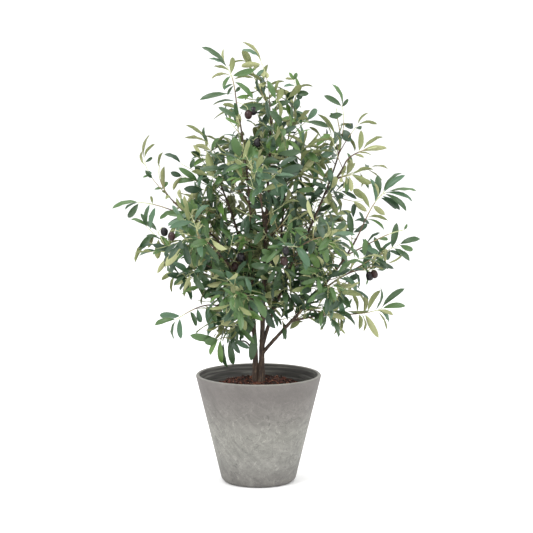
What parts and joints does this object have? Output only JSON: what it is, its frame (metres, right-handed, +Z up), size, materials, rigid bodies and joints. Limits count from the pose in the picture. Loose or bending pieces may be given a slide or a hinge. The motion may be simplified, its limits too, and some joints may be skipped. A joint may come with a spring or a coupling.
{
  "type": "artificial olive tree in a pot",
  "caption": "Bushy artificial olive tree on slim brown stems, with narrow leaves and dark olives, in a tapered round grey pot filled with bark chips.",
  "frame": {"origin": "centre of the pot's flat underside, on the surface that it stands on", "axes": "+Z up along the tree, +X to the right and -Y to the front, as the picture shows it"},
  "size_m": [0.8075, 0.657, 1.1463],
  "materials": {
    "pot": "matt grey stone-and-resin, lightly mottled",
    "chips": "rough red-brown bark chips",
    "bark": "dull dark brown, lightly ribbed",
    "foliage": "satin green above, pale yellow-green below"
  },
  "bodies": {
    "root": {"pot": "pot", "bark_chips": "chips", "trunk": "bark", "stem_left": "bark", "stem_upper_left": "bark", "stem_low_right": "bark", "stem_right": "bark", "stem_top_right": "bark", "bough_left_low": "bark", "bough_bottom_left": "bark", "bough_left": "bark", "bough_left_mid": "bark", "bough_left_under": "bark", "bough_right_low": "bark", "bough_right_mid": "bark", "bough_right_upper": "bark", "bough_front_low": "bark", "bough_front_left": "bark", "bough_front_right": "bark", "bough_front_high": "bark", "bough_back_low": "bark", "bough_back_left": "bark", "bough_back_right": "bark", "bough_back_high": "bark", "leaves_top": "foliage", "leaves_upper_left": "foliage", "leaves_top_left": "foliage", "leaves_right": "foliage", "leaves_right_top": "foliage", "leaves_top_right": "foliage", "leaves_left_low": "foliage", "leaves_bottom_left": "foliage", "leaves_left": "foliage", "leaves_left_out": "foliage", "leaves_left_mid": "foliage", "leaves_left_under": "foliage", "leaves_right_low": "foliage", "leaves_right_mid": "foliage", "leaves_right_out": "foliage", "leaves_right_upper": "foliage", "leaves_right_under": "foliage", "leaves_front_right_low": "foliage", "leaves_front_low": "foliage", "leaves_front_left": "foliage", "leaves_front_right": "foliage", "leaves_front_high": "foliage", "leaves_back_low": "foliage", "leaves_back_left": "foliage", "leaves_back_right": "foliage", "leaves_back_high": "foliage", "leaves_low_centre": "foliage", "leaves_inner_left": "foliage", "leaves_inner_front": "foliage", "leaves_inner_back": "foliage", "leaves_inner_right": "foliage", "leaves_mid_left": "foliage", "leaves_high_left": "foliage", "leaves_high_centre": "foliage", "leaves_high_right": "foliage", "leaves_high_back": "foliage"}
  },
  "joints": []
}
